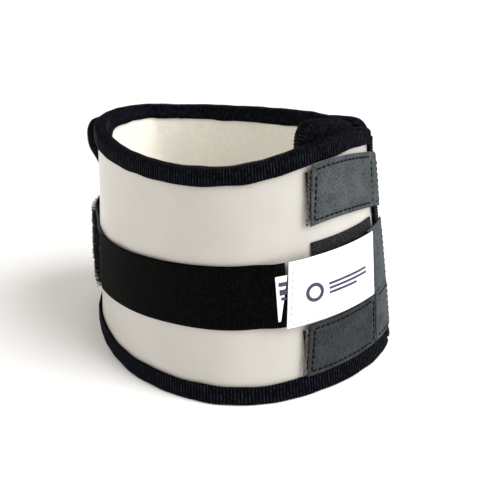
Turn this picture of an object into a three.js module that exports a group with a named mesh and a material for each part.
// Wrap-around orthosis cuff: a foam-lined plastic wrap whose bound front panel opens about a
// living hinge, an outer rear shell that embraces it, and a strap and two tabs that hold it shut.
// Millimetres, +Z up. Angles are the direction that a wall faces: 0 is +X and -90 is the front.
// Each piece is cut as a flat pattern (along, up, outwards) and is then bent round the cuff.

import * as THREE from 'three';

// Plan of the cuff's outer wall: a convex oval, given by its reach in each facing direction.
const REACH = 61.9;
const PLAN_WAVES = [[2, -0.035, -0.145], [3, 0.055, 0], [4, 0.02, 0]];
const PLAN_CENTRE = { x: 2.18, y: 3 };
const FLARE = 4.2;
const FLARE_LEVEL = 46;

// Heights.
const CREST = 92;
const CREST_TILT = 2.8;
const CREST_RISE = 5.8;
const CREST_SPAN = 54;
const PANEL_END_DIP = 10.8;
const FLAP_LIFT = 2.3;
const FLAP_END_RISE = 3.7;
const REAR_DROP = 3.5;
const REAR_END_DIP = 4;
const HEEL_LIFT = 3.3;
const HEEL_SPAN = [37, 62];
const PATTERN_HEIGHT = 92;
const STRAP_LOW = 31.2;
const STRAP_WIDTH = 25;
const STRAP_TILT = 1;
const STRAP_SAG = 3.1;

// Layers, outwards from the shell's outer face at 0.
const GAP = 0.3;
const SHELL = 1.8;
const FOAM = 2.5;
const TAPE = 0.8;
const BINDING_WIDTH = 7.8;
const WEBBING = 1.3;
const HOOK = 0.7;
const CLOTH = 1;
const LABEL = 0.4;
const OVERLAP_STEP = 7.1;

// Ends of the pieces round the cuff, in degrees.
const HINGE_ANGLE = 210;
const HINGE_GAP = 0.3;
const PANEL_END = -10;
const FLAP_END = -58;
const REAR_END_RIGHT = -4;
const REAR_END_LEFT = 141;
const REAR_END_LEAN = 80;
const UPPER_TAB = [-60.8, -27];
const LOWER_TAB = [-65.6, -35.5];
const LOOP_PATCH = [-60.7, -30];
const TAIL_START = -71;
const TAIL_END = -37;
const REAR_STRAP_START = 22;
const HOOK_TAPE_START = 150;

// Directions over which an edge eases down or a layer eases in.
const PANEL_DIP = [-60, 0];
const FLAP_DIP = [5, 75];
const FLAP_SLOPE = [-58, -30];
const REAR_DIP = [40, 110];
const STEP_IN = [8, 75];
const HOOK_TAPE_EASE = [158, 188];

const CORNER = 10;
const REAR_CORNER = 11;
const STEP = 3.9;
const LEANING_ROWS = 13;

const radians = THREE.MathUtils.degToRad;
const rise = (value, low, high) => THREE.MathUtils.smoothstep(value, low, high);

// Reach of the plan in a facing direction, and how fast it changes with that direction.
function reachAt(angle) {
  let reach = 1;
  let change = 0;
  for (const [waves, even, odd] of PLAN_WAVES) {
    const turn = waves * angle;
    reach += even * Math.cos(turn) + odd * Math.sin(turn);
    change += waves * (odd * Math.cos(turn) - even * Math.sin(turn));
  }
  return [reach * REACH, change * REACH];
}

function planPoint(degrees, offset) {
  const angle = radians(degrees);
  const [reach, change] = reachAt(angle);
  const out = reach + offset;
  return {
    x: out * Math.cos(angle) - change * Math.sin(angle) - PLAN_CENTRE.x,
    y: out * Math.sin(angle) + change * Math.cos(angle) - PLAN_CENTRE.y,
  };
}

// Distance along the outer wall up to a facing direction, and the direction at a distance.
function arcAt(degrees) {
  const angle = radians(degrees);
  let arc = angle;
  for (const [waves, even, odd] of PLAN_WAVES) {
    const turn = waves * angle;
    arc += ((1 - waves * waves) / waves) * (even * Math.sin(turn) - odd * Math.cos(turn));
  }
  return arc * REACH;
}

function angleAt(arc) {
  let low = -400;
  let high = 400;
  while (high - low > 1e-7) {
    const middle = (low + high) / 2;
    if (arcAt(middle) < arc) low = middle;
    else high = middle;
  }
  return (low + high) / 2;
}

// The point on the cuff at a distance along the wall, a height and an offset outwards.
function onCuff(arc, height, offset) {
  const flare = (FLARE * (FLARE_LEVEL - height)) / FLARE_LEVEL;
  const point = planPoint(angleAt(arc), offset + flare);
  return new THREE.Vector3(point.x, point.y, height);
}

// Edge heights round the cuff.
const across = (degrees) => planPoint(degrees, 0).x + PLAN_CENTRE.x;
const bottomEdge = (degrees) => HEEL_LIFT * rise(-across(degrees), ...HEEL_SPAN);

function crestEdge(degrees) {
  const side = across(degrees) / CREST_SPAN;
  return CREST + CREST_TILT * side + CREST_RISE * side * side;
}

function wrapCrest(degrees) {
  const dip = rise(degrees, ...PANEL_DIP) * (1 - rise(degrees, ...FLAP_DIP));
  return crestEdge(degrees) - PANEL_END_DIP * dip;
}

function flapCrest(degrees) {
  const lift = FLAP_LIFT * (1 - rise(degrees, ...FLAP_DIP));
  return wrapCrest(degrees) + lift + FLAP_END_RISE * (1 - rise(degrees, ...FLAP_SLOPE));
}

function rearCrest(degrees) {
  return crestEdge(degrees) - REAR_DROP - REAR_END_DIP * (1 - rise(degrees, ...REAR_DIP));
}

function strapEdge(degrees) {
  const side = across(degrees) / CREST_SPAN;
  return STRAP_LOW + STRAP_TILT * side - STRAP_SAG * Math.min(side, 0) ** 2;
}

// The end of the wrap steps inwards to lie under the front panel.
const wrapShift = (degrees) => -OVERLAP_STEP * (1 - rise(degrees, ...STEP_IN));
const rearShift = (degrees) => wrapShift(degrees) + OVERLAP_STEP;
const flush = () => 0;

function bend(geometry, place) {
  const position = geometry.attributes.position;
  const point = new THREE.Vector3();
  for (let index = 0; index < position.count; index += 1) {
    point.fromBufferAttribute(position, index);
    const bent = place(point);
    position.setXYZ(index, bent.x, bent.y, bent.z);
  }
  geometry.computeVertexNormals();
  return geometry;
}

const panelLength = (panel) => arcAt(panel.to) - arcAt(panel.from);

// A bound panel: its pattern runs from arcAt(from) to arcAt(to), its height is scaled to run
// from the bottom edge to the crest, and its far end may lean on towards the top.
function onPanel(panel, along, up, outwards) {
  const lean = (panel.lean * along * (up / PATTERN_HEIGHT - 0.5)) / panelLength(panel);
  const arc = arcAt(panel.from) + along + lean;
  const degrees = angleAt(arc);
  const low = bottomEdge(degrees);
  const height = low + ((panel.crest(degrees) - low) * up) / PATTERN_HEIGHT;
  return onCuff(arc, height, outwards + panel.shift(degrees));
}

// Height by which a rounded corner cuts in at a distance from the panel's end.
function cornerCut(distance, radius) {
  if (distance >= radius) return 0;
  return radius - Math.sqrt(radius * radius - (radius - distance) ** 2);
}

// One layer of a bound panel, held inside the binding.
function panelLayer(panel, inner, outer) {
  const length = panelLength(panel);
  const inset = TAPE + GAP;
  const start = panel.roundStart ? inset : 0;
  const end = panel.roundEnd ? length - inset : length;
  const radius = panel.corner;
  const rows = panel.lean ? LEANING_ROWS : 1;
  const box = new THREE.BoxGeometry(1, 1, 1, Math.ceil(length / STEP), rows, 1);
  return bend(box, (point) => {
    const along = THREE.MathUtils.lerp(start, end, point.x + 0.5);
    const cuts = [0];
    if (panel.roundStart) cuts.push(cornerCut(along - start, radius));
    if (panel.roundEnd) cuts.push(cornerCut(end - along, radius));
    const cut = inset + Math.max(...cuts);
    const up = THREE.MathUtils.lerp(cut, PATTERN_HEIGHT - cut, point.y + 0.5);
    return onPanel(panel, along, up, point.z < 0 ? inner : outer);
  });
}

function straight(path, from, to) {
  path.add(new THREE.LineCurve3(new THREE.Vector3(...from, 0), new THREE.Vector3(...to, 0)));
}

// A quarter-circle corner from one point to another, bulging towards the given corner point.
function rounded(path, from, corner, to) {
  const KAPPA = 0.5523;
  const start = new THREE.Vector3(...from, 0);
  const end = new THREE.Vector3(...to, 0);
  const peak = new THREE.Vector3(...corner, 0);
  const first = start.clone().lerp(peak, KAPPA);
  const second = end.clone().lerp(peak, KAPPA);
  path.add(new THREE.CubicBezierCurve3(start, first, second, end));
}

// The edge of a panel's pattern, anticlockwise, with its inside on the left.
function bindingPath(panel) {
  const path = new THREE.CurvePath();
  const length = panelLength(panel);
  const height = PATTERN_HEIGHT;
  const corner = panel.corner;
  const roundEnd = () => {
    rounded(path, [length - corner, 0], [length, 0], [length, corner]);
    straight(path, [length, corner], [length, height - corner]);
    rounded(path, [length, height - corner], [length, height], [length - corner, height]);
  };
  const roundStart = () => {
    rounded(path, [corner, height], [0, height], [0, height - corner]);
    straight(path, [0, height - corner], [0, corner]);
    rounded(path, [0, corner], [0, 0], [corner, 0]);
  };
  if (panel.roundStart && panel.roundEnd) {
    const middle = length / 2;
    straight(path, [middle + GAP / 2, 0], [length - corner, 0]);
    roundEnd();
    straight(path, [length - corner, height], [corner, height]);
    roundStart();
    straight(path, [corner, 0], [middle - GAP / 2, 0]);
  } else if (panel.roundEnd) {
    straight(path, [0, 0], [length - corner, 0]);
    roundEnd();
    straight(path, [length - corner, height], [0, height]);
  } else {
    straight(path, [length, height], [corner, height]);
    roundStart();
    straight(path, [corner, 0], [length, 0]);
  }
  return path;
}

// Tape folded over the panel's edge: a U that holds the shell and the foam between its legs.
function binding(panel) {
  const outside = -(GAP + TAPE);
  const inside = SHELL + GAP + FOAM + GAP + TAPE;
  const middle = BINDING_WIDTH / 2;
  const outline = [
    [outside, 0],
    [inside, 0],
    [inside, middle],
    [inside, BINDING_WIDTH],
    [inside - TAPE, BINDING_WIDTH],
    [inside - TAPE, middle],
    [inside - TAPE, TAPE],
    [outside + TAPE, TAPE],
    [outside + TAPE, middle],
    [outside + TAPE, BINDING_WIDTH],
    [outside, BINDING_WIDTH],
    [outside, middle],
  ];
  const section = new THREE.Shape(outline.map(([x, y]) => new THREE.Vector2(x, y)));
  const path = bindingPath(panel);
  const steps = Math.ceil(path.getLength() / STEP);
  const tape = new THREE.ExtrudeGeometry(section, { steps, extrudePath: path });
  return bend(tape, (point) => onPanel(panel, point.x, point.y, point.z));
}

// A strip of cloth, webbing or plastic laid on the cuff.
function strip({ from, to, low, high, base, thickness }) {
  const start = arcAt(from);
  const length = arcAt(to) - start;
  const box = new THREE.BoxGeometry(1, 1, 1, Math.max(2, Math.ceil(length / STEP)), 1, 1);
  return bend(box, (point) => {
    const arc = start + length * (point.x + 0.5);
    const degrees = angleAt(arc);
    const height = point.y < 0 ? low(degrees) : high(degrees);
    return onCuff(arc, height, base(degrees) + (point.z < 0 ? 0 : thickness));
  });
}

const materials = {
  shell: { color: 0xdfdcd9, roughness: 0.35, metalness: 0 },
  foam: { color: 0xe6e0cf, roughness: 0.95, metalness: 0 },
  binding: { color: 0x14151f, roughness: 0.9, metalness: 0 },
  webbing: { color: 0x0c0c0d, roughness: 0.85, metalness: 0 },
  hook: { color: 0x121213, roughness: 0.95, metalness: 0 },
  grey_cloth: { color: 0x3f4449, roughness: 0.9, metalness: 0 },
  loop_pile: { color: 0x2f3133, roughness: 1, metalness: 0 },
  label: { color: 0xf2f2f4, roughness: 0.5, metalness: 0 },
};

const cuff = new THREE.Group();

function add(name, geometry, look) {
  const mesh = new THREE.Mesh(geometry, new THREE.MeshStandardMaterial(materials[look]));
  mesh.name = name;
  cuff.add(mesh);
}

// The three bound panels.
const frontPanel = {
  from: HINGE_ANGLE - 360 + HINGE_GAP,
  to: PANEL_END,
  crest: wrapCrest,
  shift: flush,
  lean: 0,
  corner: CORNER,
  roundEnd: true,
};
const rearWrap = {
  from: FLAP_END,
  to: HINGE_ANGLE - HINGE_GAP,
  crest: flapCrest,
  shift: wrapShift,
  lean: 0,
  corner: CORNER,
  roundStart: true,
};
const rearShell = {
  from: REAR_END_RIGHT,
  to: REAR_END_LEFT,
  crest: rearCrest,
  shift: rearShift,
  lean: REAR_END_LEAN,
  corner: REAR_CORNER,
  roundStart: true,
  roundEnd: true,
};
for (const [name, panel] of [['front', frontPanel], ['wrap', rearWrap], ['rear', rearShell]]) {
  add(`${name}_shell`, panelLayer(panel, -SHELL, 0), 'shell');
  add(`${name}_foam`, panelLayer(panel, -(SHELL + GAP + FOAM), -(SHELL + GAP)), 'foam');
  add(`${name}_binding`, binding(panel), 'binding');
}

// Levels of the layers laid on the front panel.
const OVER_BINDING = GAP + TAPE + GAP;
const TAIL_HOOK_BASE = OVER_BINDING;
const TAIL_BASE = TAIL_HOOK_BASE + HOOK + GAP;
const LABEL_BASE = TAIL_BASE + WEBBING + GAP;
const rearOut = (degrees) => rearShift(degrees) + OVER_BINDING;
const SEAM_GAP = 0.5;
const TAIL_EASE = [TAIL_START - 14, TAIL_START - 2];
const TAG_SPAN = [TAIL_START - 5.8, TAIL_START - 1];
const TAG_RISE = [3, 20.5];
const HOOK_MARGIN = 1.7;
const LABEL_MARGIN = 0.35;

const strapLow = strapEdge;
const strapHigh = (degrees) => strapEdge(degrees) + STRAP_WIDTH;

// The strap: sewn webbing round the rear shell, a hook tape on the left and the front webbing.
add('rear_strap', strip({
  from: REAR_STRAP_START,
  to: HOOK_TAPE_START - SEAM_GAP,
  low: strapLow,
  high: strapHigh,
  base: rearOut,
  thickness: WEBBING,
}), 'webbing');
add('hook_tape', strip({
  from: HOOK_TAPE_START,
  to: HINGE_ANGLE - HINGE_GAP,
  low: strapLow,
  high: strapHigh,
  base: (degrees) => GAP + (rearOut(degrees) - GAP) * (1 - rise(degrees, ...HOOK_TAPE_EASE)),
  thickness: WEBBING,
}), 'hook');
add('front_strap', strip({
  from: HINGE_ANGLE - 360 + HINGE_GAP,
  to: TAIL_START - SEAM_GAP,
  low: strapLow,
  high: strapHigh,
  base: (degrees) => GAP + (TAIL_BASE - GAP) * rise(degrees, ...TAIL_EASE),
  thickness: WEBBING,
}), 'webbing');
add('size_tag', strip({
  from: TAG_SPAN[0],
  to: TAG_SPAN[1],
  low: (degrees) => strapEdge(degrees) + TAG_RISE[0],
  high: (degrees) => strapEdge(degrees) + TAG_RISE[1],
  base: () => LABEL_BASE,
  thickness: LABEL,
}), 'label');

// The strap's free tail, with its label and the hook patch under it.
add('strap_tail', strip({
  from: TAIL_START,
  to: TAIL_END,
  low: strapLow,
  high: strapHigh,
  base: () => TAIL_BASE,
  thickness: WEBBING,
}), 'webbing');
add('tail_hook', strip({
  from: LOOP_PATCH[0] + 2,
  to: TAIL_END,
  low: (degrees) => strapLow(degrees) + HOOK_MARGIN,
  high: (degrees) => strapHigh(degrees) - HOOK_MARGIN,
  base: () => TAIL_HOOK_BASE,
  thickness: HOOK,
}), 'hook');
add('label', strip({
  from: TAIL_START + SEAM_GAP,
  to: TAIL_END,
  low: (degrees) => strapLow(degrees) - LABEL_MARGIN,
  high: (degrees) => strapHigh(degrees) + LABEL_MARGIN,
  base: () => LABEL_BASE,
  thickness: LABEL,
}), 'label');

// The loop patch that the tail's hooks hold, and the strip sewn over the panel's end.
const LOOP_RISE = [2.5, 4];
const END_STRIP_DROP = 2;
add('loop_patch', strip({
  from: LOOP_PATCH[0],
  to: LOOP_PATCH[1],
  low: (degrees) => strapLow(degrees) + LOOP_RISE[0],
  high: (degrees) => strapHigh(degrees) + LOOP_RISE[1],
  base: () => GAP,
  thickness: TAPE,
}), 'loop_pile');
add('end_strip', strip({
  from: TAIL_END + 0.8,
  to: PANEL_END - 1,
  low: (degrees) => strapLow(degrees) - END_STRIP_DROP,
  high: strapHigh,
  base: () => OVER_BINDING,
  thickness: CLOTH,
}), 'grey_cloth');

// Two closing tabs: hook patches under grey cloth, sewn down along their right-hand edge.
const UPPER_TAB_DROP = 6.3;
const UPPER_TAB_HEIGHT = 22.5;
const LOWER_TAB_DROP = 2.4;
const LOWER_TAB_HEIGHT = 20.8;
const TAB_EDGE = 2.3;
const TAB_FOLD = 0.8;
const upperTabLow = (degrees) => wrapCrest(degrees) - UPPER_TAB_DROP - UPPER_TAB_HEIGHT;
const lowerTabLow = (degrees) => strapLow(degrees) - LOWER_TAB_DROP - LOWER_TAB_HEIGHT;
for (const [name, [start, hinge], tabLow, tabHeight] of [
  ['upper_tab', UPPER_TAB, upperTabLow, UPPER_TAB_HEIGHT],
  ['lower_tab', LOWER_TAB, lowerTabLow, LOWER_TAB_HEIGHT],
]) {
  const tabHigh = (degrees) => tabLow(degrees) + tabHeight;
  add(`${name}_cloth`, strip({
    from: start + TAB_FOLD,
    to: hinge,
    low: tabLow,
    high: tabHigh,
    base: () => OVER_BINDING,
    thickness: CLOTH,
  }), 'grey_cloth');
  add(`${name}_hook`, strip({
    from: start,
    to: Math.min(hinge, PANEL_END - 18),
    low: (degrees) => tabLow(degrees) + TAB_EDGE,
    high: (degrees) => tabHigh(degrees) - TAB_EDGE,
    base: () => GAP,
    thickness: TAPE,
  }), 'hook');
  add(`${name}_seam`, strip({
    from: hinge + TAB_FOLD,
    to: PANEL_END - 1,
    low: tabLow,
    high: tabHigh,
    base: () => OVER_BINDING,
    thickness: CLOTH,
  }), 'grey_cloth');
}

export default cuff;
